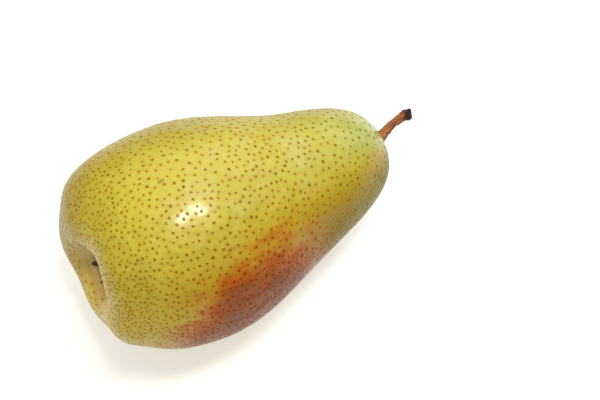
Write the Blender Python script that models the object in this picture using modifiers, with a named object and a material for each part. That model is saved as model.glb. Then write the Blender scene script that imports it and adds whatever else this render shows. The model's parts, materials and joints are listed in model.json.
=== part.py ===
# A ripe pear lying on its belly, with its stem and the dried flower parts in the calyx basin.
#
# Metres, +Z up. +X runs along the fruit towards the stem, and the origin is on the surface that
# the fruit lies on, under the middle of the whole object. The pieces are modelled in the fruit's
# own growing frame, in which X is the core line, from the rim of the calyx basin (x = 0) to the
# stem end (x = BODY_LENGTH). An empty then lays the fruit down.

import math

import bmesh
import bpy
from mathutils import Matrix, Vector

# Fruit
BODY_LENGTH = 0.1075        # rim of the calyx basin to the stem end, along the core line
BELLY_RADIUS = 0.0355       # widest section
RIM_RADIUS = 0.0145         # highest ring of the calyx end, around the basin
BASIN_DEPTH = 0.0096        # rim of the basin to its floor
DIMPLE_DEPTH = 0.0006       # dip that the stem grows from
BODY_SEGMENTS = 56          # around
BASIN_RINGS = 8             # from the basin's floor to its rim
FLANK_RINGS = 34            # from the rim to the dimple

# The flank: a full shoulder up to the belly, then a sweep down to a neck that tapers to a blunt end
BELLY_PLACE = 0.35 * BODY_LENGTH    # rim to the widest section
SHOULDER_FULLNESS = 2.25            # 2 would make the shoulder a quarter of an ellipse
NECK_PLACE = 0.72 * BODY_LENGTH     # rim to where the neck begins
NECK_RADIUS = 0.665 * BELLY_RADIUS  # where it begins
NECK_TAPER = 0.38                   # how much slimmer it would be at the stem end, as a share
NECK_BLUNTNESS = 4.0                # more makes the stem end squarer
NECK_ROUNDING = 3.0                 # more brings the round edge closer to the stem
FLANK_POINTS = 24                   # worked out along the flank, closer together at its ends

# How the fruit departs from a turned shape
RIB_HEIGHT = 0.0004         # soft ribs around the calyx, one behind each sepal
RIB_REACH = 0.042           # along the flank, where the ribs have faded out
RIB_TURN = math.radians(46.0)   # from straight up to the first rib and sepal
OVALITY = 0.012             # wider than high by twice this share
CALYX_SKEW = 0.11           # the calyx end stands askew by this slope
CALYX_SKEW_REACH = 0.030    # along the fruit, where that has faded out
CALYX_NOTCH = 0.0034        # how much lower the upper side of the basin's rim stands
CALYX_SHIFT = 0.0032        # the basin lies this far to the side of the core line
CALYX_SHIFT_REACH = 0.008   # along the fruit, where that has faded out
BEND_START = 0.042          # the core line is straight up to here
BEND_UP = 0.0036            # how far the stem end has bent up
BEND_SIDE = 0.0062          # and to the side
NECK_FACE_UP = 0.26         # the neck's end stands askew: it faces up by this slope
NECK_FACE_SIDE = 0.08       # and to the side
NECK_FACE_REACH = 0.024     # back from the stem end, where that has faded out
SAG_HEIGHT = 0.0028         # the underside is fuller towards the neck, where the weight lies
SAG_PLACE = 0.058           # along the fruit
SAG_REACH = 0.036           # to either side of that place

# How it lies
REST_TILT = math.radians(8.0)   # stem end down
FLAT_DEPTH = 0.0007             # how deep the belly is pressed flat where it rests

# Stem
STEM_LENGTH = 0.0146        # outside the fruit
STEM_SEAT = 0.0022          # inside the fruit
STEM_FOOT_RADIUS = 0.0019
STEM_WAIST_RADIUS = 0.00145
STEM_TIP_RADIUS = 0.0018
STEM_LEAN = math.radians(8.0)   # away from the core line, to the side
STEM_CURVE = 0.0008         # how far its middle bows from a straight line

# Dried flower parts
CUP_RADIUS = 0.0027         # outside
CUP_WALL = 0.0005
CUP_HEIGHT = 0.0023
CUP_ROUNDING = 0.85         # share of its radius over which its floor is flat
SEPAL_COUNT = 5
SEPAL_REACH = 0.0026        # across the basin, from beside the cup
SEPAL_WIDTH = 0.0030        # at its foot
SEPAL_TIP_WIDTH = 0.0008
SEPAL_THICKNESS = 0.0005
SEPAL_CURL = 0.0010         # how far its tip stands off the basin
SEPAL_CUPPING = 0.0002      # how far its edges turn up
STAMEN_COUNT = 6
STAMEN_FOOT = 0.0005        # thickness of the disc that they grow from
STAMEN_GAP = 0.0002         # between the feet of neighbouring stamens
STAMEN_LENGTH = 0.0034
STAMEN_SPREAD = 0.0004      # how far a tip leans outwards
STAMEN_TAPER = 0.75         # each half of a stamen ends this much slimmer

CLEARANCE = 0.0003          # between neighbouring pieces

SKIN = ("pear_skin", (0.62, 0.58, 0.12), 0.35)
BARK = ("stem_bark", (0.16, 0.085, 0.04), 0.7)
DRY_CALYX = ("dried_calyx", (0.085, 0.045, 0.028), 0.8)


def clear_scene():
    for existing in list(bpy.data.objects):
        bpy.data.objects.remove(existing, do_unlink=True)


def make_collection(name):
    collection = bpy.data.collections.new(name)
    bpy.context.scene.collection.children.link(collection)
    return collection


def make_material(name, color, roughness):
    material = bpy.data.materials.new(name)
    material.use_nodes = True
    shader = material.node_tree.nodes["Principled BSDF"]
    shader.inputs["Base Color"].default_value = (*color, 1.0)
    shader.inputs["Roughness"].default_value = roughness
    shader.inputs["Metallic"].default_value = 0.0
    return material


def add_object(name, data, collection, parent, material=None):
    added = bpy.data.objects.new(name, data)
    collection.objects.link(added)
    added.parent = parent
    if material:
        data.materials.append(material)
    return added


def basin_depth_at(radius):
    """How far the basin lies below its rim, at a distance from the core line."""
    share = min(radius / RIM_RADIUS, 1.0)
    return BASIN_DEPTH * (1.0 - share**2) ** 2


def smooth_through(points, count):
    """Samples a smooth curve through the points, evenly by chord length, without the two end points."""
    knots = [0.0]
    for before, after in zip(points, points[1:]):
        knots.append(knots[-1] + (after - before).length)
    samples = []
    first, last = knots[1], knots[-2]
    for index in range(count + 1):
        place = first + (last - first) * index / count
        span = max(i for i in range(1, len(points) - 2) if knots[i] <= place + 1e-12)
        width = knots[span + 1] - knots[span]
        slopes = [
            (points[i + 1] - points[i - 1]) / (knots[i + 1] - knots[i - 1])
            for i in (span, span + 1)
        ]
        t = (place - knots[span]) / width
        samples.append(
            points[span] * (2 * t**3 - 3 * t**2 + 1)
            + slopes[0] * width * (t**3 - 2 * t**2 + t)
            + points[span + 1] * (3 * t**2 - 2 * t**3)
            + slopes[1] * width * (t**3 - t**2)
        )
    return samples


def flank_radius(along):
    """The turned fruit's radius, from the rim of the basin to the stem end."""
    neck_length = BODY_LENGTH - NECK_PLACE
    if along < BELLY_PLACE:
        left = 1.0 - along / BELLY_PLACE
        full = (1.0 - left**SHOULDER_FULLNESS) ** (1.0 / SHOULDER_FULLNESS)
        return RIM_RADIUS + (BELLY_RADIUS - RIM_RADIUS) * full
    if along > NECK_PLACE:
        t = (along - NECK_PLACE) / neck_length
        return NECK_RADIUS * (1.0 - NECK_TAPER * t) * (1.0 - t**NECK_BLUNTNESS) ** (1.0 / NECK_ROUNDING)
    sweep = NECK_PLACE - BELLY_PLACE
    t = (along - BELLY_PLACE) / sweep
    slope = -NECK_RADIUS * NECK_TAPER / neck_length
    fall = (NECK_RADIUS - BELLY_RADIUS) * (3.0 * t**2 - 2.0 * t**3)
    return BELLY_RADIUS + fall + slope * sweep * (t**3 - t**2)


def body_outline():
    """The turned fruit's outline as (along, radius), from the basin's floor to the dimple."""
    basin = []
    for ring in range(BASIN_RINGS):
        radius = RIM_RADIUS * ring / BASIN_RINGS
        basin.append(Vector((basin_depth_at(radius), radius)))
    flank = []
    for point in range(1, FLANK_POINTS):
        along = BODY_LENGTH * (1.0 - math.cos(math.pi * point / FLANK_POINTS)) / 2.0
        flank.append(Vector((along, flank_radius(along))))
    pole = Vector((BODY_LENGTH - DIMPLE_DEPTH, 0.0))
    beyond = Vector((flank[-1].x, -flank[-1].y))
    rim = Vector((0.0, RIM_RADIUS))
    return basin + smooth_through([basin[-1], rim, *flank, pole, beyond], FLANK_RINGS)


def turned(outline, segments):
    """A closed mesh, made by turning an outline of (along, radius) points about X."""
    shape = bmesh.new()
    verts = [shape.verts.new((point[0], 0.0, point[1])) for point in outline]
    edges = [shape.edges.new(pair) for pair in zip(verts, verts[1:])]
    bmesh.ops.spin(
        shape,
        geom=verts + edges,
        cent=(0.0, 0.0, 0.0),
        axis=(1.0, 0.0, 0.0),
        angle=math.tau,
        steps=segments,
        use_merge=True,
    )
    bmesh.ops.remove_doubles(shape, verts=shape.verts[:], dist=0.00001)
    bmesh.ops.recalc_face_normals(shape, faces=shape.faces[:])
    return shape


def fade(value):
    """1 at 0, 0 from 1 on, level at both."""
    value = min(max(value, 0.0), 1.0)
    return 1.0 - value * value * (3.0 - 2.0 * value)


def grown(point):
    """Takes a point of the turned shape to where the real, uneven fruit has it."""
    along, side, up = point
    radius = math.hypot(side, up)
    around = math.atan2(side, up)
    in_basin = radius <= RIM_RADIUS and along <= BASIN_DEPTH
    back = 0.0 if in_basin else along   # how far behind the rim, for what fades out from there
    rib = RIB_HEIGHT * math.cos(SEPAL_COUNT * (around - RIB_TURN))
    rib *= fade(back / RIB_REACH) * (1.0 - fade(radius / RIM_RADIUS))
    if radius > 0.0:
        side *= (radius + rib) / radius * (1.0 + OVALITY)
        up *= (radius + rib) / radius * (1.0 - OVALITY)
    bend = max(along - BEND_START, 0.0) / (BODY_LENGTH - BEND_START)
    skew = CALYX_SKEW * side * fade(back / CALYX_SKEW_REACH)
    face = NECK_FACE_UP * up + NECK_FACE_SIDE * side
    face *= fade((BODY_LENGTH - along) / NECK_FACE_REACH)
    notch = CALYX_NOTCH * max(math.cos(around), 0.0) ** 2 * fade(back / CALYX_SKEW_REACH)
    notch *= 1.0 - fade(radius / RIM_RADIUS)
    side += BEND_SIDE * bend**2 - CALYX_SHIFT * fade(back / CALYX_SHIFT_REACH)
    up += BEND_UP * bend**2
    if radius > 0.0:
        under = max(-math.cos(around), 0.0) ** 2
        up -= SAG_HEIGHT * under * fade(abs(along - SAG_PLACE) / SAG_REACH)
    return Vector((along + notch - skew - face - rib * fade(back / RIM_RADIUS), side, up))


def core_frame_at_stem():
    """Where the stem leaves the fruit, with local Z along the stem's foot and local Y to the side."""
    run = BODY_LENGTH - BEND_START
    core = Vector((1.0, 2.0 * BEND_SIDE / run, 2.0 * BEND_UP / run)).normalized()
    lean = Matrix.Rotation(STEM_LEAN, 3, "Z")
    direction = (lean @ core).normalized()
    side = Vector((0.0, 1.0, 0.0))
    side = (side - direction * side.dot(direction)).normalized()
    frame = Matrix((side.cross(direction), side, direction)).transposed().to_4x4()
    frame.translation = grown(Vector((BODY_LENGTH - DIMPLE_DEPTH, 0.0, 0.0)))
    return frame


def make_body(collection, cutters, parent):
    shape = turned(body_outline(), BODY_SEGMENTS)
    for vert in shape.verts:
        vert.co = grown(vert.co)
    mesh = bpy.data.meshes.new("pear_body")
    shape.to_mesh(mesh)
    shape.free()
    mesh.shade_smooth()
    body = add_object("pear_body", mesh, collection, parent, make_material(*SKIN))
    depth = STEM_SEAT + CLEARANCE
    socket = make_cutter("stem_socket", turned_rod(STEM_FOOT_RADIUS + CLEARANCE, depth), cutters, parent)
    socket.matrix_local = core_frame_at_stem()
    cut(body, socket)
    return body


def turned_rod(radius, depth):
    """An upright cylinder that reaches as far above its origin as below."""
    rod = bmesh.new()
    bmesh.ops.create_cone(
        rod,
        cap_ends=True,
        segments=24,
        radius1=radius,
        radius2=radius,
        depth=2.0 * depth,
    )
    return rod


def make_cutter(name, shape, cutters, parent=None):
    mesh = bpy.data.meshes.new(name)
    shape.to_mesh(mesh)
    shape.free()
    cutter = add_object(name, mesh, cutters, parent)
    cutter.hide_render = True
    cutter.display_type = "WIRE"
    return cutter


def cut(target, cutter):
    modifier = target.modifiers.new("cut by " + cutter.name, "BOOLEAN")
    modifier.operation = "DIFFERENCE"
    modifier.solver = "EXACT"
    modifier.object = cutter


def make_stem(collection, parent):
    """Thick at its foot, slim in the middle and knobbed at the end where it broke off."""
    keys = [
        Vector((-STEM_SEAT, STEM_FOOT_RADIUS)),
        Vector((STEM_LENGTH * 0.05, STEM_FOOT_RADIUS * 0.97)),
        Vector((STEM_LENGTH * 0.20, (STEM_FOOT_RADIUS + STEM_WAIST_RADIUS) / 2)),
        Vector((STEM_LENGTH * 0.45, STEM_WAIST_RADIUS)),
        Vector((STEM_LENGTH * 0.70, STEM_WAIST_RADIUS * 1.05)),
        Vector((STEM_LENGTH * 0.88, STEM_TIP_RADIUS)),
        Vector((STEM_LENGTH, STEM_TIP_RADIUS * 0.86)),
    ]
    outline = smooth_through([keys[0] * 2 - keys[1], *keys, keys[-1] * 2 - keys[-2]], 14)
    curve = bpy.data.curves.new("stem", "CURVE")
    curve.dimensions = "3D"
    curve.bevel_depth = STEM_FOOT_RADIUS
    curve.bevel_resolution = 4
    curve.use_fill_caps = True
    strand = curve.splines.new("POLY")
    strand.points.add(len(outline) - 1)
    frame = core_frame_at_stem()
    for knot, (height, radius) in zip(strand.points, outline):
        bow = STEM_CURVE * math.sin(math.pi * max(height, 0.0) / STEM_LENGTH)
        knot.co = (*(frame @ Vector((0.0, bow, height))), 1.0)
        knot.radius = radius / STEM_FOOT_RADIUS
    return add_object("stem", curve, collection, parent, make_material(*BARK))


def cup_floor():
    """The outside of the cup's floor, above the deepest part of the basin that it covers."""
    return basin_depth_at(CUP_RADIUS) - CLEARANCE


def make_cup(collection, parent, material):
    floor = cup_floor()
    inside = CUP_RADIUS - CUP_WALL
    outline = [
        (floor, 0.0),
        (floor, CUP_RADIUS * CUP_ROUNDING),
        (floor - CUP_WALL, CUP_RADIUS),
        (floor - CUP_HEIGHT, CUP_RADIUS),
        (floor - CUP_HEIGHT, inside),
        (floor - CUP_WALL * 2, inside),
        (floor - CUP_WALL, inside * CUP_ROUNDING),
        (floor - CUP_WALL, 0.0),
    ]
    shape = turned(outline, 30)
    mesh = bpy.data.meshes.new("calyx_cup")
    shape.to_mesh(mesh)
    shape.free()
    mesh.shade_smooth()
    cup = add_object("calyx_cup", mesh, collection, parent, material)
    cup.location.y = -CALYX_SHIFT
    return cup


def make_sepal(index, collection, parent, material):
    """A narrow leaf that starts beside the cup, follows the basin's wall and curls off it."""
    start = CUP_RADIUS + CLEARANCE + SEPAL_THICKNESS / 2
    rows = 7
    columns = 5
    turn = RIB_TURN + math.tau * index / SEPAL_COUNT
    shape = bmesh.new()
    bmesh.ops.create_grid(shape, x_segments=columns - 1, y_segments=rows - 1, size=1.0)
    for vert in shape.verts:
        across = vert.co.x
        share = (vert.co.y + 1.0) / 2.0
        half_width = (SEPAL_WIDTH + (SEPAL_TIP_WIDTH - SEPAL_WIDTH) * share**2) / 2
        radius = start + SEPAL_REACH * share
        around = turn + across * half_width / radius
        lift = CLEARANCE + SEPAL_THICKNESS + SEPAL_CURL * share**2 + SEPAL_CUPPING * across**2
        along = basin_depth_at(radius) - lift
        vert.co = grown(Vector((along, radius * math.sin(around), radius * math.cos(around))))
    bmesh.ops.recalc_face_normals(shape, faces=shape.faces[:])
    mesh = bpy.data.meshes.new(f"sepal_{index + 1}")
    shape.to_mesh(mesh)
    shape.free()
    mesh.shade_smooth()
    sepal = add_object(mesh.name, mesh, collection, parent, material)
    shell = sepal.modifiers.new("thickness", "SOLIDIFY")
    shell.thickness = SEPAL_THICKNESS
    shell.offset = 0.0
    return sepal


def make_stamens(collection, parent, material):
    """A small disc on the cup's floor with a ring of withered stamens drawn up from it."""
    foot = cup_floor() - CUP_WALL - CLEARANCE
    disc_radius = (CUP_RADIUS - CUP_WALL) * CUP_ROUNDING - CLEARANCE
    shape = bmesh.new()
    bmesh.ops.create_cone(
        shape,
        cap_ends=True,
        cap_tris=True,
        segments=STAMEN_COUNT,
        radius1=disc_radius,
        radius2=disc_radius,
        depth=STAMEN_FOOT,
    )
    tops = [face for face in shape.faces if face.normal.z > 0.9]
    bmesh.ops.inset_individual(shape, faces=tops, thickness=STAMEN_GAP / 2)
    for share in (0.5, 1.0):
        tops = bmesh.ops.extrude_discrete_faces(shape, faces=tops)["faces"]
        for top in tops:
            middle = top.calc_center_median()
            lean = Vector((middle.x, middle.y, 0.0)).normalized() * STAMEN_SPREAD * share
            for vert in top.verts:
                vert.co = middle + (vert.co - middle) * STAMEN_TAPER + lean
                vert.co.z += STAMEN_LENGTH / 2
    outwards = Matrix.Rotation(-math.pi / 2, 4, "Y")
    shape.transform(Matrix.Translation((foot - STAMEN_FOOT / 2, 0.0, 0.0)) @ outwards)
    mesh = bpy.data.meshes.new("stamen_tuft")
    shape.to_mesh(mesh)
    shape.free()
    tuft = add_object("stamen_tuft", mesh, collection, parent, material)
    tuft.location.y = -CALYX_SHIFT
    return tuft


def evaluated_corners(objects):
    """The lowest and highest corner of the objects as they stand now."""
    bpy.context.view_layer.update()
    depsgraph = bpy.context.evaluated_depsgraph_get()
    low = Vector((math.inf, math.inf, math.inf))
    high = -low
    for item in objects:
        mesh = item.evaluated_get(depsgraph).to_mesh()
        for vert in mesh.vertices:
            place = item.matrix_world @ vert.co
            low = Vector(map(min, low, place))
            high = Vector(map(max, high, place))
        item.evaluated_get(depsgraph).to_mesh_clear()
    return low, high


def lay_down(rest, body, pieces, cutters):
    """Tilts the fruit, presses its belly flat on the surface and centres the whole over the origin."""
    rest.rotation_euler = (0.0, REST_TILT, 0.0)
    low, high = evaluated_corners(pieces)
    body_low = evaluated_corners([body])[0]
    rest.location = (-(low.x + high.x) / 2, -(low.y + high.y) / 2, -body_low.z - FLAT_DEPTH)
    slab = bmesh.new()
    bmesh.ops.create_cube(slab, size=1.0)
    bmesh.ops.scale(slab, vec=(BODY_LENGTH, BODY_LENGTH, BELLY_RADIUS), verts=slab.verts)
    surface = make_cutter("resting_surface", slab, cutters)
    surface.location.z = -BELLY_RADIUS / 2
    cut(body, surface)


def build():
    clear_scene()
    pear = make_collection("pear")
    cutters = make_collection("cutters")
    rest = bpy.data.objects.new("pear_on_its_side", None)
    pear.objects.link(rest)
    dry = make_material(*DRY_CALYX)
    body = make_body(pear, cutters, rest)
    pieces = [body, make_stem(pear, rest), make_cup(pear, rest, dry), make_stamens(pear, rest, dry)]
    pieces += [make_sepal(index, pear, rest, dry) for index in range(SEPAL_COUNT)]
    lay_down(rest, body, pieces, cutters)


build()
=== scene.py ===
import bisect
import json
import math
import random

import bpy
from mathutils import Matrix, Vector, noise
from mathutils.bvhtree import BVHTree
from mathutils.kdtree import KDTree

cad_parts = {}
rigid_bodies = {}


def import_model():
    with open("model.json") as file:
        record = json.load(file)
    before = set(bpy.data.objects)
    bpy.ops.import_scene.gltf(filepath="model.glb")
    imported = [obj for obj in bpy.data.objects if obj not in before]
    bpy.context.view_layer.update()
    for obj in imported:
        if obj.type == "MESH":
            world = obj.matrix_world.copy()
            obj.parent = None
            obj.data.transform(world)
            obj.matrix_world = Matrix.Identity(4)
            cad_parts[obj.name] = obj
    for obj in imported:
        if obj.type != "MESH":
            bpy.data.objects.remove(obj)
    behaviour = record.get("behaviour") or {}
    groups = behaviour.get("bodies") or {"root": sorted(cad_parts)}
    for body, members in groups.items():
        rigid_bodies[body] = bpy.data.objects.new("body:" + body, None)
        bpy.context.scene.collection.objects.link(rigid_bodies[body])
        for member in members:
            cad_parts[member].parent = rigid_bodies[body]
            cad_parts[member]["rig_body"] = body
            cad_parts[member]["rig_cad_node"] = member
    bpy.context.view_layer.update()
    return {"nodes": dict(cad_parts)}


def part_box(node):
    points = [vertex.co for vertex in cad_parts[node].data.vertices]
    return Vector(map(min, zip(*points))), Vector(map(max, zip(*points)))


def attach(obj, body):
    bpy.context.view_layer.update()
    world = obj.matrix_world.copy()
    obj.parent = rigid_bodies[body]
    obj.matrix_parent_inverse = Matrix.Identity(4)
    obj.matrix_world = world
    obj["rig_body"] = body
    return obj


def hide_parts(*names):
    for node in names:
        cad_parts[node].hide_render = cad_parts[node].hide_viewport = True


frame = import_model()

nodes = frame["nodes"]


def middle(node):
    low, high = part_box(node)
    return (low + high) / 2


# the fruit's own frame: X from the dried flower to the stem, Y to the far side, Z up
calyxPoint = middle("calyx_cup")
stemPoint = middle("stem")
coreLine = (stemPoint - calyxPoint).normalized()
sideways = Vector((0, 0, 1)).cross(coreLine).normalized()
upwards = coreLine.cross(sideways)
fruitFrame = Matrix((coreLine, sideways, upwards)).transposed()
toFruitFrame = fruitFrame.transposed()


def fruitPlace(place):
    # metres along the core line, degrees around it from straight up, metres away from it
    local = toFruitFrame @ (place - calyxPoint)
    return local.x, math.degrees(math.atan2(-local.y, local.z)), math.hypot(local.y, local.z)


class Wire:
    # one output socket, which can be added, multiplied and so on
    def __init__(self, paint, socket):
        self.paint = paint
        self.socket = socket

    def maths(self, operation, other=None):
        return self.paint.maths(operation, self, other)

    def __add__(self, other):
        return self.maths("ADD", other)

    def __radd__(self, other):
        return self.paint.maths("ADD", other, self)

    def __sub__(self, other):
        return self.maths("SUBTRACT", other)

    def __rsub__(self, other):
        return self.paint.maths("SUBTRACT", other, self)

    def __mul__(self, other):
        return self.maths("MULTIPLY", other)

    def __truediv__(self, other):
        return self.maths("DIVIDE", other)


class Paint:
    # a material whose nodes are added one by one
    def __init__(self, name):
        self.material = bpy.data.materials.new(name)
        self.material.use_nodes = True
        self.tree = self.material.node_tree
        self.tree.nodes.clear()
        self.shader = self.tree.nodes.new("ShaderNodeBsdfPrincipled")
        output = self.tree.nodes.new("ShaderNodeOutputMaterial")
        self.tree.links.new(self.shader.outputs["BSDF"], output.inputs["Surface"])

    def plug(self, socket, value):
        if isinstance(value, Wire):
            self.tree.links.new(value.socket, socket)
        elif value is not None:
            socket.default_value = value

    def node(self, kind, settings=None, sockets=None, out=0):
        made = self.tree.nodes.new(kind)
        for key, value in (settings or {}).items():
            setattr(made, key, value)
        for key, value in (sockets or {}).items():
            self.plug(made.inputs[key], value)
        return Wire(self, made.outputs[out])

    def maths(self, operation, first, second=None):
        return self.node("ShaderNodeMath", {"operation": operation}, {0: first, 1: second})

    def vector(self, operation, first, second=None, out=0):
        return self.node("ShaderNodeVectorMath", {"operation": operation}, {0: first, 1: second}, out)

    def mix(self, factor, first, second, blend="MIX"):
        settings = {"data_type": "RGBA", "blend_type": blend, "clamp_factor": True}
        return self.node("ShaderNodeMix", settings, {0: factor, 6: first, 7: second}, 2)

    def ease(self, value, start, end):
        # 0 up to start, 1 from end on, smooth between; start may be the higher one
        flip = start > end
        sockets = {"Value": value, "From Min": min(start, end), "From Max": max(start, end)}
        if flip:
            sockets.update({"To Min": 1.0, "To Max": 0.0})
        return self.node("ShaderNodeMapRange", {"interpolation_type": "SMOOTHSTEP"}, sockets)

    def noise(self, vector, scale, detail=2.0, rough=0.5, out="Fac"):
        sockets = {"Vector": vector, "Scale": scale, "Detail": detail, "Roughness": rough}
        return self.node("ShaderNodeTexNoise", None, sockets, out)

    def objectPoint(self):
        return self.node("ShaderNodeTexCoord", None, None, "Object")

    def bump(self, height, distance, strength):
        sockets = {"Height": height, "Distance": distance, "Strength": strength}
        return self.node("ShaderNodeBump", None, sockets)

    def finish(self, sockets):
        for name, value in sockets.items():
            self.plug(self.shader.inputs[name], value)
        return self.material


class Sky(Paint):
    # the same helpers for the nodes of the world
    def __init__(self, world):
        self.tree = world.node_tree


def tone(red, green, blue):
    # a screen colour, 0 to 255, as the linear colour that a shader takes
    def linear(part):
        part /= 255
        return part / 12.92 if part <= 0.04045 else ((part + 0.055) / 1.055) ** 2.4
    return (linear(red), linear(green), linear(blue), 1.0)


def pick(*things):
    for thing in bpy.context.selected_objects:
        thing.select_set(False)
    bpy.context.view_layer.objects.active = things[0]
    for thing in things:
        thing.select_set(True)


def copyOfNode(node, name):
    # a loose copy of a CAD node, merged into one closed mesh
    piece = nodes[node].copy()
    piece.data = nodes[node].data.copy()
    piece.name = name
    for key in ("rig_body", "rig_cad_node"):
        if key in piece:
            del piece[key]
    bpy.context.scene.collection.objects.link(piece)
    piece.parent = None
    piece.data.materials.clear()
    pick(piece)
    bpy.ops.object.mode_set(mode="EDIT")
    bpy.ops.mesh.select_all(action="SELECT")
    bpy.ops.mesh.remove_doubles(threshold=0.00001)
    bpy.ops.mesh.tris_convert_to_quads(face_threshold=math.radians(60), shape_threshold=math.radians(60))
    bpy.ops.object.mode_set(mode="OBJECT")
    return piece


def applyModifier(piece, kind, **settings):
    pick(piece)
    modifier = piece.modifiers.new(kind.lower(), kind)
    for key, value in settings.items():
        setattr(modifier, key, value)
    bpy.ops.object.modifier_apply(modifier=modifier.name)


def fade(value):
    # 1 at 0, 0 from 1 on, level at both
    value = min(max(value, 0.0), 1.0)
    return 1.0 - value * value * (3.0 - 2.0 * value)


def placed(piece, slot, paint, *replaced):
    # the last step for every piece: its body, its paint and the CAD nodes it stands for
    piece.data.materials.clear()
    piece.data.materials.append(paint)
    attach(piece, "root")
    if replaced:
        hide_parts(*replaced)


fruit = {
    "dents": ((0.030, 0.0006), (0.010, 0.00022)),   # size and depth of the skin's unevenness
    "puckerDepth": 0.00034,     # fine creases that run into the calyx
    "puckerCount": 11,
    "puckerRadius": 0.0130,
    "puckerStart": 0.003,       # full from here out, and none in the very middle
    "puckerMiddle": 0.001,
    "lipDepth": 0.0030,         # the basin falls off steeply behind its upper lip
    "lipRadius": 0.0098,
    "lipWidth": 0.0034,
    "lipTurn": 100,             # degrees to either side of straight up, where it has faded out
    "collarHeight": 0.0007,     # the flesh stands up around the stem's foot
    "collarRadius": 0.0060,
    "socketRadius": 0.0022,     # around the stem's lower end, left as it is
    "stemSlice": 0.0008,        # how much of the stem counts as that end
}


def stemFoot():
    # the middle of the stem's lower end, which sits in the fruit
    ends = [vert.co for vert in nodes["stem"].data.vertices]
    near = min(coreLine.dot(end) for end in ends)
    seat = [end for end in ends if coreLine.dot(end) < near + fruit["stemSlice"]]
    return sum(seat, Vector()) / len(seat)


def makeFruit():
    piece = copyOfNode("pear_body", "pear_skin_surface")
    applyModifier(piece, "SUBSURF", levels=2, render_levels=2)
    for size, depth in fruit["dents"]:
        clouds = bpy.data.textures.new("dents", "CLOUDS")
        clouds.noise_scale = size
        applyModifier(
            piece, "DISPLACE", texture=clouds, texture_coords="LOCAL", strength=depth, mid_level=0.5
        )
    foot = stemFoot()
    for vert in piece.data.vertices:
        along, around, radius = fruitPlace(vert.co)
        if along < fruit["puckerRadius"] and fruit["puckerMiddle"] < radius < fruit["puckerRadius"]:
            turn = math.radians(around)
            wave = math.sin(fruit["puckerCount"] * turn + 3 * math.sin(2 * turn))
            reach = fade(radius / fruit["puckerRadius"]) * min(radius / fruit["puckerStart"], 1.0)
            vert.co -= coreLine * fruit["puckerDepth"] * wave * reach
            behind = fade(abs(radius - fruit["lipRadius"]) / fruit["lipWidth"])
            behind *= fade(abs(around) / fruit["lipTurn"])
            vert.co += coreLine * fruit["lipDepth"] * behind
        gap = (vert.co - foot).length
        if gap > fruit["socketRadius"]:
            fall = (gap - fruit["socketRadius"]) / fruit["collarRadius"]
            vert.co += coreLine * fruit["collarHeight"] * fade(fall)
        vert.co.z = max(vert.co.z, 0.0)
    piece.data.shade_smooth()
    return piece


# what the skin looks like; lengths are in metres
skin = {
    "yellow": tone(202, 191, 56),
    "ochre": tone(192, 144, 20),
    "green": tone(178, 176, 52),
    # paleGreen is partly the stem end's own tone and partly a painted sheen on its top
    "paleGreen": tone(180, 190, 112),
    # tan and basin are partly the basin's own paler tone and partly painted light on its shadowed wall
    "tan": tone(236, 208, 108),
    "orange": tone(186, 84, 10),
    "rose": tone(94, 50, 16),
    "basin": tone(228, 192, 92),
    "hollowShade": tone(54, 36, 18),
    # pale is a painted reflection: glints along streaks on the lower flanks
    "pale": tone(210, 178, 118),
    # a painted sheen, laid in patches on the upper belly
    "paintedSheen": tone(204, 206, 132),
    "paintedShade": tone(130, 114, 12),
    "dot": tone(150, 90, 0),
    "darkDot": tone(106, 74, 0),
    "redDot": tone(104, 34, 0),
    "greenDot": tone(98, 84, 4),
    "halo": tone(196, 124, 8),
    "blemish": tone(104, 84, 44),
    "mottling": (0.78, 0.76, 0.62, 1.0),
    "scar": tone(112, 64, 18),
    "scarCount": 12,
    "scarReach": (0.020, 0.096),    # along the fruit, where they lie
    "scarTurn": 160.0,          # degrees to either side of straight up
    "scarSize": (0.0008, 0.0016),
    "scarSeed": 5,
    "blushTop": 42.0,           # degrees from straight up, towards the near side
    "blushFall": 19.0,          # and how much lower it starts towards its two ends
    "blushMiddle": 0.040,
    "blushReach": 0.025,
    "roughness": 0.40,
    "coat": 0.72,
    "grain": 0.08,              # shares of fine grain, peel and swell in its relief
    "peel": 7.0,
    "swell": 9.0,
    "relief": 0.00012,
    # where each mask starts and where it is full: metres along the fruit ...
    "neckAlong": (0.040, 0.095),
    "stemEndAlong": (0.074, 0.098),
    "lowerAlong": (0.002, 0.022),
    "basinAlong": (0.006, -0.003),
    "hollowShadeAlong": (0.010, 0.004),
    "sheenAlong": (0.012, 0.030),
    "neckSideAlong": (0.042, 0.068),
    "blushStart": (-0.002, 0.016),
    "blushEnd": (0.070, 0.050),
    "underAlong": (0.066, 0.050),
    "haloAlong": (0.060, 0.095),
    "scuffAlong": (0.082, 0.092),
    "dullAlong": (0.022, 0.002),
    "greenDotAlong": (0.055, 0.095),
    # ... metres out from its core line ...
    "basinRadius": (0.022, 0.009),
    "basinMiddle": (0.0130, 0.0085),
    "hollowShadeRadius": (0.0080, 0.0050),
    # ... and degrees around it, from straight up towards the near side
    "lowerAround": (12.0, 62.0),
    "lowerLimit": (135.0, 98.0),
    "neckSideAround": (34.0, 80.0),
    "backAround": (-14.0, -58.0),
    "backLimit": (-172.0, -125.0),
    "blushLimit": (132.0, 96.0),
    "underAround": (72.0, 112.0),
    "nearLimit": (172.0, 140.0),
    "stemEndAside": (60.0, 8.0),
    "sheenAside": (44.0, 12.0),
}

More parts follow.
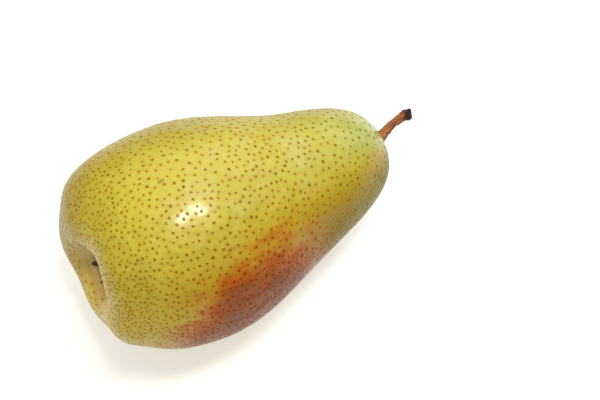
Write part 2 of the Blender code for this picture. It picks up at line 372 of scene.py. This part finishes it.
# lenticels, the corky pores of the skin
lenticel = {
    "radius": 0.00066,          # out to where its stain ends
    "spacing": 0.00235,
    "calyxSpacing": 0.00142,    # small and close around the calyx
    "calyxStart": -0.006,       # along the fruit, and the length over which that fades out
    "calyxFade": 0.034,
    "neckSpacing": 0.00265,
    "neckStart": 0.055,
    "neckFade": 0.035,
    "crowding": 0.18,           # closer by this share low on the near side
    "crowdAround": 95,          # degrees from straight up, and to either side of that
    "crowdFade": 55,
    "spacingSpread": (0.70, 1.15),
    "sizeSpread": (0.66, 1.16),
    "strengthSpread": (0.66, 1.0),
    "sizePower": 0.45,          # how much smaller where they are close
    "stainStart": 0.34,         # share of the radius where the stain starts to fade
    "stainFade": 0.64,
    "rise": 0.000020,
    "sink": 0.000012,
    "haloRadius": 0.0014,
    "basinReach": 0.004,        # along the fruit, up to where the basin thins them out
    "bareRadius": 0.0070,       # around the dried flower, where there are none
    "floorGap": 0.0008,         # and none on the underside or at the stem's foot
    "footGap": 0.0050,
    "neighbourhood": 0.003,     # a cell of the grid that finds what lies close
    "tries": 40000,
    "seed": 11,
}


def spacingAt(along, around):
    spacing = lenticel["spacing"]
    nearCalyx = fade((along - lenticel["calyxStart"]) / lenticel["calyxFade"])
    spacing += (lenticel["calyxSpacing"] - spacing) * nearCalyx
    nearNeck = 1 - fade((along - lenticel["neckStart"]) / lenticel["neckFade"])
    spacing += (lenticel["neckSpacing"] - spacing) * nearNeck
    crowded = fade(abs(around - lenticel["crowdAround"]) / lenticel["crowdFade"])
    return spacing * (1 - lenticel["crowding"] * crowded)


def basinShare(along, radius):
    # the share of lenticels that is kept: all on the flank, few in the basin, none in its middle
    if along > lenticel["basinReach"]:
        return 1.0
    bare = lenticel["bareRadius"]
    return ((radius - bare) / bare) ** 4 if radius > bare else 0.0


def scatterLenticels(piece):
    # places on the skin, none closer to the others than the spacing wanted there
    luck = random.Random(lenticel["seed"])
    mesh = piece.data
    mesh.calc_loop_triangles()
    corners = [
        [mesh.vertices[index].co for index in triangle.vertices] for triangle in mesh.loop_triangles
    ]
    reached = []
    total = 0.0
    for first, second, third in corners:
        total += (second - first).cross(third - first).length
        reached.append(total)
    foot = stemFoot()
    cell = lenticel["neighbourhood"]
    taken = {}
    found = []
    for attempt in range(lenticel["tries"]):
        first, second, third = corners[bisect.bisect(reached, luck.random() * total)]
        a, b = luck.random(), luck.random()
        if a + b > 1:
            a, b = 1 - a, 1 - b
        place = first + (second - first) * a + (third - first) * b
        along, around, radius = fruitPlace(place)
        share = basinShare(along, radius)
        underside = place.z < lenticel["floorGap"]
        if luck.random() > share or underside or (place - foot).length < lenticel["footGap"]:
            continue
        wanted = spacingAt(along, around)
        spacing = wanted * luck.uniform(*lenticel["spacingSpread"])
        key = tuple(int(part // cell) for part in place)
        nearby = [
            other
            for x in (-1, 0, 1) for y in (-1, 0, 1) for z in (-1, 0, 1)
            for other in taken.get((key[0] + x, key[1] + y, key[2] + z), ())
        ]
        if all((other - place).length > spacing for other in nearby):
            taken.setdefault(key, []).append(place)
            size = lenticel["radius"] * (wanted / lenticel["spacing"]) ** lenticel["sizePower"]
            size *= luck.uniform(*lenticel["sizeSpread"])
            found.append((place, size, luck.uniform(*lenticel["strengthSpread"])))
    return found


def setValues(mesh, name, values):
    layer = mesh.attributes.new(name, "FLOAT", "POINT")
    layer.data.foreach_set("value", values)


def domeShape():
    # the points and faces of one dome, the upper half of a ball
    bpy.ops.mesh.primitive_uv_sphere_add(segments=8, ring_count=6, radius=1)
    dome = bpy.context.object
    bpy.ops.object.mode_set(mode="EDIT")
    bpy.ops.mesh.select_all(action="SELECT")
    bpy.ops.mesh.bisect(plane_co=(0, 0, 0), plane_no=(0, 0, 1), use_fill=True, clear_inner=True)
    bpy.ops.mesh.select_all(action="SELECT")
    bpy.ops.mesh.remove_doubles(threshold=0.001)
    bpy.ops.object.mode_set(mode="OBJECT")
    shape = [vert.co.copy() for vert in dome.data.vertices]
    sides = [tuple(face.vertices) for face in dome.data.polygons]
    bpy.data.objects.remove(dome)
    return shape, sides


def makeLenticels(skinPiece, spots):
    # one low dome is modelled, and each copy is laid on the skin
    shape, sides = domeShape()
    surface = BVHTree.FromPolygons(
        [vert.co for vert in skinPiece.data.vertices],
        [tuple(face.vertices) for face in skinPiece.data.polygons],
    )
    middles = KDTree(len(spots))
    for index, (place, size, strength) in enumerate(spots):
        middles.insert(place, index)
    middles.balance()

    def haloAt(place):
        return fade(middles.find(place)[2] / lenticel["haloRadius"])

    points, faces, stains, halos = [], [], [], []
    for place, size, strength in spots:
        normal = surface.find_nearest(place)[1]
        right = normal.orthogonal().normalized()
        ahead = normal.cross(right)
        start = len(points)
        for corner in shape:
            aim = place + (right * corner.x + ahead * corner.y) * size
            on, facing = surface.find_nearest(aim)[:2]
            height = (lenticel["rise"] + lenticel["sink"]) * max(corner.z, 0) ** 0.5 - lenticel["sink"]
            points.append(on + facing * height)
            reach = math.hypot(corner.x, corner.y)
            stains.append(strength * fade((reach - lenticel["stainStart"]) / lenticel["stainFade"]))
            halos.append(haloAt(on))
        faces += [tuple(start + index for index in side) for side in sides]
    mesh = bpy.data.meshes.new("lenticels")
    mesh.from_pydata(points, [], faces)
    mesh.shade_smooth()
    piece = bpy.data.objects.new("lenticels", mesh)
    bpy.context.scene.collection.objects.link(piece)
    setValues(mesh, "stain", stains)
    setValues(mesh, "halo", halos)
    setValues(skinPiece.data, "halo", [haloAt(vert.co) for vert in skinPiece.data.vertices])
    return piece


class SkinPaint(Paint):
    # the skin's paint, which is laid on in layers
    def __init__(self, name):
        super().__init__(name)
        self.point = self.objectPoint()
        settings = {"vector_type": "TEXTURE"}
        sockets = {"Vector": self.point, "Location": calyxPoint, "Rotation": fruitFrame.to_euler()}
        self.local = self.node("ShaderNodeMapping", settings, sockets)
        self.along = self.node("ShaderNodeSeparateXYZ", None, {0: self.local}, "X")
        side = Wire(self, self.along.socket.node.outputs["Y"])
        up = Wire(self, self.along.socket.node.outputs["Z"])
        self.around = self.maths("ARCTAN2", side * -1.0, up) * (180.0 / math.pi)
        self.aside = self.around.maths("ABSOLUTE")
        self.radius = (side * side + up * up).maths("SQRT")

        self.clouds = self.noise(self.point, 34.0, 3.0, 0.55)
        self.mottle = self.noise(self.point, 520.0, 4.0, 0.7)
        self.streaks = self.drawnOut(0.35, 190.0, 4.0, 0.6)
        self.patches = self.drawnOut(0.6, 260.0, 4.0, 0.65)
        self.lines = self.drawnOut(0.10, 1500.0, 3.0, 0.6)

        self.nearLimit = self.within(self.around, "nearLimit")
        self.under = self.within(self.around, "underAround") * self.nearLimit
        self.under = self.under * self.within(self.along, "underAlong")

    def drawnOut(self, stretch, scale, detail, rough):
        # noise that is drawn out along the fruit
        place = self.vector("MULTIPLY", self.local, (stretch, 1.0, 1.0))
        return self.noise(place, scale, detail, rough)

    def within(self, place, limits):
        return self.ease(place, *skin[limits])

    def cover(self, mask, color, share=1.0):
        self.color = self.mix(mask * share, self.color, skin[color])

    def ground(self):
        # yellow, greener to the stem with a paler top at its end, and ochre low on the near side, which
        # is partly its own tone and partly painted shade
        wander = self.clouds - 0.5
        neck = self.within(self.along + wander * 0.03, "neckAlong")
        self.color = self.mix(neck * 0.7, skin["yellow"], skin["green"])
        self.cover(self.ease(self.clouds, 0.42, 0.68), "green", 0.45)
        # a paler green on top at the stem end: partly its own tone, partly a painted sheen
        stemEnd = self.within(self.along + wander * 0.012, "stemEndAlong")
        self.cover(stemEnd * self.within(self.aside, "stemEndAside"), "paleGreen", 0.7)
        self.cover(self.ease(self.streaks, 0.45, 0.75), "ochre", 0.22)
        # ochre low on the near side: partly the fruit's own tone, partly painted shade on the lower
        # flank
        lower = self.within(self.around + wander * 30.0, "lowerAround")
        lower = lower * self.within(self.around, "lowerLimit")
        self.cover(lower * (self.within(self.along, "lowerAlong") * 0.75 + 0.25), "ochre", 0.85)

    def basin(self):
        # paler in the basin, partly its own tone and partly painted light on its shadowed wall, and
        # painted shade, dark, around the dried flower
        wander = self.streaks - 0.5
        basin = self.within(self.along + wander * 0.004, "basinAlong")
        basin = basin * self.within(self.radius, "basinRadius")
        # tan, then a deeper ochre further in, both lighter than the skin: partly the basin's own tone,
        # partly painted light on the shadowed basin wall
        self.cover(basin, "tan", 0.75)
        self.cover(basin * self.within(self.radius, "basinMiddle"), "basin", 0.85)
        # painted shade: a dark ring around the dried flower, deep in the basin
        hollowShade = self.within(self.radius + wander * 0.003, "hollowShadeRadius")
        self.cover(hollowShade * self.within(self.along, "hollowShadeAlong"), "hollowShade", 0.85)

    def sides(self):
        # a painted sheen on top, and painted shade under the neck and on the far side
        # painted sheen: light patches on the upper belly, where the soft light would reflect
        paintedSheen = self.ease(self.noise(self.point, 150.0, 4.0, 0.65), 0.46, 0.66)
        paintedSheen = paintedSheen * self.within(self.along, "sheenAlong")
        self.cover(paintedSheen * self.within(self.aside, "sheenAside"), "paintedSheen", 0.30)
        # painted shade on the neck's near side, and a lighter painted shade on the far side
        self.neckSide = self.within(self.around, "neckSideAround") * self.nearLimit
        self.neckSide = self.neckSide * self.within(self.along, "neckSideAlong")
        self.cover(self.neckSide, "paintedShade", 0.95)
        self.back = self.within(self.around, "backAround") * self.within(self.around, "backLimit")
        self.cover(self.back, "paintedShade", 0.46)

    def blush(self):
        # on the near flank, lower towards its ends, with streaks along the fruit
        bow = (self.along - skin["blushMiddle"]) / skin["blushReach"]
        top = bow * bow * skin["blushFall"] + skin["blushTop"]
        wander = (self.clouds - 0.5) * 36.0 + (self.streaks - 0.5) * 34.0
        depth = self.around + wander - top
        ends = self.within(self.along, "blushStart") * self.within(self.along, "blushEnd")
        ends = ends * self.within(self.around, "blushLimit")
        self.warm = self.ease(depth + (self.patches - 0.5) * 50.0, -8.0, 16.0) * ends
        deep = self.ease(depth, 4.0, 34.0) * ends
        self.cover(self.warm * (self.patches * 0.8 + 0.42), "orange")
        self.cover(deep * (self.streaks * 0.5 + 0.45), "rose")

    def markings(self):
        # fine mottling all over, and fine lines along the lower flanks, raised in the relief and painted
        # light as reflected glints
        darker = self.mix(1.0, self.color, skin["mottling"], "MULTIPLY")
        self.color = self.mix(self.ease(self.mottle, 0.35, 0.75) * 0.35, self.color, darker)
        # painted reflection: light streaks along the lower flanks, where the floor's light glints
        self.cover(self.ease(self.lines, 0.54, 0.66) * self.under, "pale", 0.42)

    def scars(self):
        # a few small ones, ragged and drawn out along the fruit
        luck = random.Random(skin["scarSeed"])
        warp = (self.patches - 0.5) * 0.0024
        mask = 0.0
        for scar in range(skin["scarCount"]):
            far = luck.uniform(*skin["scarReach"])
            turn = luck.uniform(-skin["scarTurn"], skin["scarTurn"])
            size = luck.uniform(*skin["scarSize"])
            ahead = self.along - far + warp
            across = (self.around - turn) * self.radius * (math.pi / 180.0)
            gap = (ahead * ahead + across * across * 3.0).maths("SQRT")
            mask = self.ease(gap, size, size * 0.35).maths("MAXIMUM", mask)
        self.cover(mask, "scar", 0.6)

    def halos(self):
        # a soft stain in the skin around each lenticel
        color = self.mix(self.within(self.along, "haloAlong"), skin["halo"], skin["green"])
        color = self.mix(self.warm, color, skin["orange"])
        halo = self.node("ShaderNodeAttribute", {"attribute_name": "halo"}, None, "Fac")
        self.color = self.mix(halo * 0.42, self.color, color)

    def scuffs(self):
        # a few rubbed marks, most of them at the stem end
        vein = self.noise(self.vector("MULTIPLY", self.local, (1.0, 0.22, 0.22)), 260.0, 2.0, 0.7)
        stemEnd = self.within(self.along, "scuffAlong") * 0.8
        scuffed = self.ease(self.clouds, 0.60, 0.66).maths("MAXIMUM", stemEnd)
        self.scuff = self.ease((vein - 0.5).maths("ABSOLUTE"), 0.012, 0.002) * scuffed
        self.cover(self.scuff, "blemish", 0.35)

    def coat(self):
        # a waxy gloss, which the blush, the neck's side, the far side and the calyx end lack
        dull = self.within(self.along, "dullAlong") * 0.75
        for matt in (self.neckSide, self.warm * 0.95, self.back * 0.85):
            dull = dull.maths("MAXIMUM", matt)
        return skin["coat"] - dull * skin["coat"]

    def stains(self):
        # the brown of a lenticel, greener towards the stem and redder in the blush
        each = self.ease(self.noise(self.point, 430.0, 0.0), 0.36, 0.64)
        color = self.mix(each, skin["dot"], skin["darkDot"])
        color = self.mix(self.within(self.along, "greenDotAlong") * 0.8, color, skin["greenDot"])
        color = self.mix(self.warm, color, skin["redDot"])
        stain = self.node("ShaderNodeAttribute", {"attribute_name": "stain"}, None, "Fac")
        self.color = self.mix(stain * 0.92, self.color, color)
        return stain

    def relief(self):
        grain = self.noise(self.point, 1500.0, 3.0, 0.6)
        peel = self.noise(self.point, 300.0, 2.0, 0.5)
        swell = self.noise(self.point, 130.0, 1.0, 0.5)
        height = grain * skin["grain"] + peel * skin["peel"] + swell * skin["swell"]
        height = height + self.scuff * 0.3 + self.lines * self.under * 0.5
        return self.bump(height, skin["relief"], 0.7)


def makeSkinPaint(name, stained):
    paint = SkinPaint(name)
    paint.ground()
    paint.basin()
    paint.sides()
    paint.blush()
    paint.markings()
    paint.scars()
    paint.halos()
    paint.scuffs()
    roughness = (paint.mottle - 0.5) * 0.12 + skin["roughness"]
    coat = paint.coat()
    if stained:
        stain = paint.stains()
        roughness = roughness + stain * 0.35
        coat = coat * (1.0 - stain)
    return paint.finish({
        "Base Color": paint.color,
        "Roughness": roughness,
        "Coat Weight": coat,
        "Coat Roughness": 0.17,
        "Coat IOR": 1.5,
        "Specular IOR Level": 0.06 if stained else 0.20,
        "Normal": paint.relief(),
    })


print("fruit")
fruitPiece = makeFruit()
placed(fruitPiece, "pear_skin", makeSkinPaint("pearSkin", False), "pear_body")

print("lenticels")
spots = scatterLenticels(fruitPiece)
print(len(spots), "lenticels")
placed(makeLenticels(fruitPiece, spots), "pear_skin", makeSkinPaint("lenticelSkin", True))


stem = {
    "bark": tone(186, 118, 54),
    "darkBark": tone(98, 54, 38),
    "tip": tone(56, 32, 28),
    "patch": tone(206, 156, 88),
    "wrinkles": 0.00016,
    "wrinkleCount": 9,
    "knobs": 0.00034,
    "lumps": 0.0002,
    "brokenEnd": 0.0006,        # how uneven the end is
    "footFlare": 0.00045,
    "slices": 30,
}


def makeStem():
    piece = copyOfNode("stem", "stem_surface")
    applyModifier(piece, "SUBSURF", levels=3, render_levels=3)
    verts = piece.data.vertices
    heights = [coreLine.dot(vert.co) for vert in verts]
    low, high = min(heights), max(heights)
    slices = [[] for index in range(stem["slices"] + 1)]
    for vert, height in zip(verts, heights):
        slices[int((height - low) / (high - low) * stem["slices"])].append(vert.co.copy())
    middles = [sum(ring, Vector()) / len(ring) if ring else None for ring in slices]
    for index, centre in enumerate(middles):
        if centre is None:
            middles[index] = middles[index - 1]
    for vert, height in zip(verts, heights):
        share = (height - low) / (high - low)
        place = min(share * stem["slices"], stem["slices"] - 0.001)
        index = int(place)
        centre = middles[index].lerp(middles[min(index + 1, stem["slices"])], place - index)
        out = vert.co - centre
        out -= coreLine * out.dot(coreLine) * 0.8
        if out.length < 0.0002:
            continue
        out.normalize()
        turn = math.atan2(out.dot(sideways), out.dot(upwards))
        drift = noise.noise(Vector((share * 2.2, 3.0, 0.0))) * 2.5
        ridge = math.sin(stem["wrinkleCount"] * turn + drift * 2) + math.sin(5 * turn - drift * 3)
        lump = noise.noise(vert.co * 900)
        tip = 1 - fade((share - 0.80) / 0.12)
        flare = fade((share - 0.10) / 0.22)
        grow = stem["wrinkles"] * ridge * 0.6 + stem["lumps"] * lump + stem["footFlare"] * flare
        grow += stem["knobs"] * tip * (0.6 + math.sin(3 * turn + 1) + 1.4 * noise.noise(vert.co * 600))
        vert.co += out * grow
        vert.co += coreLine * tip * noise.noise(vert.co * 800) * stem["brokenEnd"]
    piece.data.shade_smooth()
    return piece


def makeStemPaint():
    paint = Paint("stemBark")
    point = paint.objectPoint()
    sockets = {"Vector": point, "Location": stemPoint, "Rotation": fruitFrame.to_euler()}
    local = paint.node("ShaderNodeMapping", {"vector_type": "TEXTURE"}, sockets)
    along = paint.node("ShaderNodeSeparateXYZ", None, {0: local}, "X")
    fibres = paint.noise(paint.vector("MULTIPLY", local, (0.16, 1.0, 1.0)), 1700.0, 4.0, 0.65)
    rings = paint.noise(paint.vector("MULTIPLY", local, (1.0, 0.3, 0.3)), 1400.0, 3.0, 0.6)
    blots = paint.noise(point, 380.0, 3.0, 0.6)
    color = paint.mix(paint.ease(fibres, 0.35, 0.62), stem["darkBark"], stem["bark"])
    color = paint.mix(paint.ease(blots, 0.58, 0.70) * 0.45, color, stem["patch"])
    color = paint.mix(paint.ease(rings, 0.55, 0.72) * 0.35, color, stem["darkBark"])
    color = paint.mix(paint.ease(along + (blots - 0.5) * 0.003, 0.0042, 0.0062), color, stem["tip"])
    return paint.finish({
        "Base Color": color,
        "Roughness": 0.55 + (blots - 0.5) * 0.3,
        "Specular IOR Level": 0.25,
        "Normal": paint.bump(fibres + rings * 0.6 + blots * 0.5, 0.00022, 0.8),
    })


print("stem")
placed(makeStem(), "stem_bark", makeStemPaint(), "stem")


calyx = {
    "dark": tone(40, 27, 16),
    "brown": tone(92, 60, 38),
    "edge": tone(152, 108, 60),
    # thread and straw are partly the threads' own colour and partly painted light, as they sit in the
    # shaded basin
    "thread": tone(250, 236, 204),
    "straw": tone(212, 176, 124),
    "crumple": 0.00034,
    "threads": 12,
    "threadLength": 0.0072,
    "threadRadius": 0.00010,
    "threadSeed": 5,
    "threadRise": 0.0018,       # their feet, above the middle of the tuft
    "knobRadius": 0.00022,
    "sepalCount": 5,
}


def crumpled(node, name):
    # a withered leaf or cup: a finer copy of the CAD piece with its surface crinkled
    piece = copyOfNode(node, name)
    applyModifier(piece, "SUBSURF", levels=2, render_levels=2)
    for vert in piece.data.vertices:
        vert.co += noise.noise_vector(vert.co * 700) * calyx["crumple"]
        vert.co += noise.noise_vector(vert.co * 2200) * calyx["crumple"] * 0.25
    piece.data.shade_smooth()
    return piece


def makeThreads():
    # withered stamens, each a bent thread with a small knob at its end
    luck = random.Random(calyx["threadSeed"])
    base = middle("stamen_tuft") + coreLine * calyx["threadRise"]
    made = []
    for index in range(calyx["threads"]):
        turn = math.tau * index / calyx["threads"] + luck.uniform(-0.2, 0.2)
        out = sideways * math.sin(turn) + upwards * math.cos(turn)
        length = calyx["threadLength"] * luck.uniform(0.6, 1.1)
        lean = luck.uniform(0.25, 0.95)
        bpy.ops.curve.primitive_bezier_curve_add(radius=1)
        thread = bpy.context.object
        thread.data.dimensions = "3D"
        thread.data.bevel_depth = calyx["threadRadius"]
        thread.data.bevel_resolution = 1
        thread.data.resolution_u = 8
        thread.data.use_fill_caps = True
        first, last = thread.data.splines[0].bezier_points
        tip = base - coreLine * length * (1 - lean * 0.5) + out * length * lean
        first.co = base + out * 0.0008
        first.handle_left = first.co + coreLine * 0.001
        first.handle_right = first.co - coreLine * length * 0.6
        last.co = tip
        last.handle_left = tip - out * length * 0.3 + coreLine * length * luck.uniform(-0.2, 0.3)
        last.handle_right = tip + out * 0.001
        last.radius = 0.7
        bpy.ops.object.convert(target="MESH")
        made.append(bpy.context.object)
        bpy.ops.mesh.primitive_uv_sphere_add(
            segments=8, ring_count=6, radius=calyx["knobRadius"], location=tip, scale=(1.5, 1.0, 0.8)
        )
        bpy.ops.object.transform_apply(location=True, rotation=True, scale=True)
        made.append(bpy.context.object)
    pick(*made)
    bpy.ops.object.join()
    piece = bpy.context.object
    piece.name = "stamen_threads"
    piece.data.shade_smooth()
    bpy.ops.object.transform_apply(location=True, rotation=True, scale=True)
    return piece


def makeDryPaint(name, dark, light):
    paint = Paint(name)
    point = paint.objectPoint()
    blots = paint.noise(point, 900.0, 4.0, 0.65)
    veins = paint.noise(paint.vector("MULTIPLY", point, (0.3, 1.0, 1.0)), 2600.0, 2.0, 0.5)
    color = paint.mix(paint.ease(blots, 0.42, 0.66), dark, light)
    color = paint.mix(paint.ease(veins, 0.55, 0.7) * 0.3, color, calyx["edge"])
    return paint.finish({
        "Base Color": color,
        "Roughness": 0.75 + (blots - 0.5) * 0.2,
        "Normal": paint.bump(blots + veins * 0.6, 0.0002, 0.8),
    })


print("calyx")
leafPaint = makeDryPaint("driedLeaf", calyx["dark"], calyx["brown"])
placed(crumpled("calyx_cup", "calyx_cup_surface"), "dried_calyx", leafPaint, "calyx_cup")
for number in range(1, calyx["sepalCount"] + 1):
    node = f"sepal_{number}"
    placed(crumpled(node, node + "_surface"), "dried_calyx", leafPaint, node)
# the threads run to near white: partly their own colour, partly painted light for their place in the
# shaded basin
threadPaint = makeDryPaint("driedThread", calyx["straw"], calyx["thread"])
placed(makeThreads(), "dried_calyx", threadPaint, "stamen_tuft")


studio = {
    "floorSize": 8.0,
    "nearColor": (0.82, 0.82, 0.81, 1.0),
    "farColor": (0.52, 0.52, 0.51, 1.0),
    "nearGlow": 0.38,
    "farGlow": 0.0,
    "nearRadius": 0.13,
    "farRadius": 0.32,
    "room": 0.75,           # light from all around, less of it from low down
    "horizon": 0.10,
    "glows": (              # way it comes from, cosine where it starts and is full, how much more
        ((0.65, 0.50, 0.58), 0.60, 0.98, 0.66),
        ((0.50, -0.76, 0.42), 0.30, 0.95, -0.45),
    ),
    "keyPlace": Vector((0.21, -0.045, 0.94)),
    "keyAim": 0.03,         # height above the origin that the panels face
    "keys": (               # three panels: offset along X and Y, width and power
        (-0.115, -0.012, 0.13, 1.95),
        (0.040, 0.085, 0.09, 1.05),
        (0.085, -0.035, 0.11, 1.45),
    ),
}
view = {
    "lens": 85.0,
    "azimuth": 24.2,        # degrees, from looking along +Y towards +X
    "elevation": 70.0,
    "distance": 0.459,
    "height": 0.033,        # of the point aimed at, before the two shifts
    "shiftRight": 0.0148,
    "shiftUp": 0.0024,
}


def makeFloor():
    bpy.ops.mesh.primitive_plane_add(size=studio["floorSize"], location=(0, 0, 0))
    floor = bpy.context.object
    floor.name = "floor"
    paint = Paint("paleFloor")
    away = paint.vector("LENGTH", paint.objectPoint(), None, "Value")
    far = paint.ease(away, studio["nearRadius"], studio["farRadius"])
    near = [studio["nearGlow"]] * 3 + [1.0]
    dim = [studio["farGlow"]] * 3 + [1.0]
    floor.data.materials.append(paint.finish({
        "Base Color": paint.mix(far, studio["nearColor"], studio["farColor"]),
        "Roughness": 0.6,
        "Emission Color": paint.mix(far, near, dim),
        "Emission Strength": 1.0,
    }))


def makeWorld():
    world = bpy.data.worlds.new("studio")
    bpy.context.scene.world = world
    world.use_nodes = True
    sky = Sky(world)
    background = world.node_tree.nodes["Background"]
    background.inputs["Color"].default_value = (1.0, 1.0, 0.99, 1.0)
    way = sky.node("ShaderNodeTexCoord", None, None, "Generated")
    height = sky.node("ShaderNodeSeparateXYZ", None, {0: way}, "Z")
    strength = sky.ease(height, 0.0, 0.45) * (studio["room"] - studio["horizon"]) + studio["horizon"]
    for direction, start, full, more in studio["glows"]:
        facing = sky.vector("DOT_PRODUCT", way, Vector(direction).normalized(), "Value")
        strength = strength + sky.ease(facing, start, full) * more
    sky.plug(background.inputs["Strength"], strength.maths("MAXIMUM", 0.0))


def makeAreaLight(name, place, size, power):
    light = bpy.data.lights.new(name, "AREA")
    light.shape = "SQUARE"
    light.size = size
    light.energy = power
    lamp = bpy.data.objects.new(name, light)
    lamp.location = place
    aim = Vector((0, 0, studio["keyAim"]))
    lamp.rotation_euler = (aim - place).to_track_quat("-Z", "Y").to_euler()
    bpy.context.scene.collection.objects.link(lamp)


def makeCamera():
    azimuth = math.radians(view["azimuth"])
    elevation = math.radians(view["elevation"])
    forward = Vector((
        math.sin(azimuth) * math.cos(elevation),
        math.cos(azimuth) * math.cos(elevation),
        -math.sin(elevation),
    ))
    right = Vector((math.cos(azimuth), -math.sin(azimuth), 0))
    up = right.cross(forward)
    aim = Vector((0, 0, view["height"])) + right * view["shiftRight"] + up * view["shiftUp"]
    camera = bpy.data.objects.new("camera", bpy.data.cameras.new("camera"))
    camera.data.lens = view["lens"]
    camera.location = aim - forward * view["distance"]
    camera.rotation_euler = forward.to_track_quat("-Z", "Y").to_euler()
    bpy.context.scene.collection.objects.link(camera)
    bpy.context.scene.camera = camera


print("studio")
makeFloor()
makeWorld()
for number, (x, y, size, power) in enumerate(studio["keys"]):
    makeAreaLight(f"key{number}", studio["keyPlace"] + Vector((x, y, 0)), size, power)
makeCamera()
bpy.context.scene.view_settings.view_transform = "Standard"
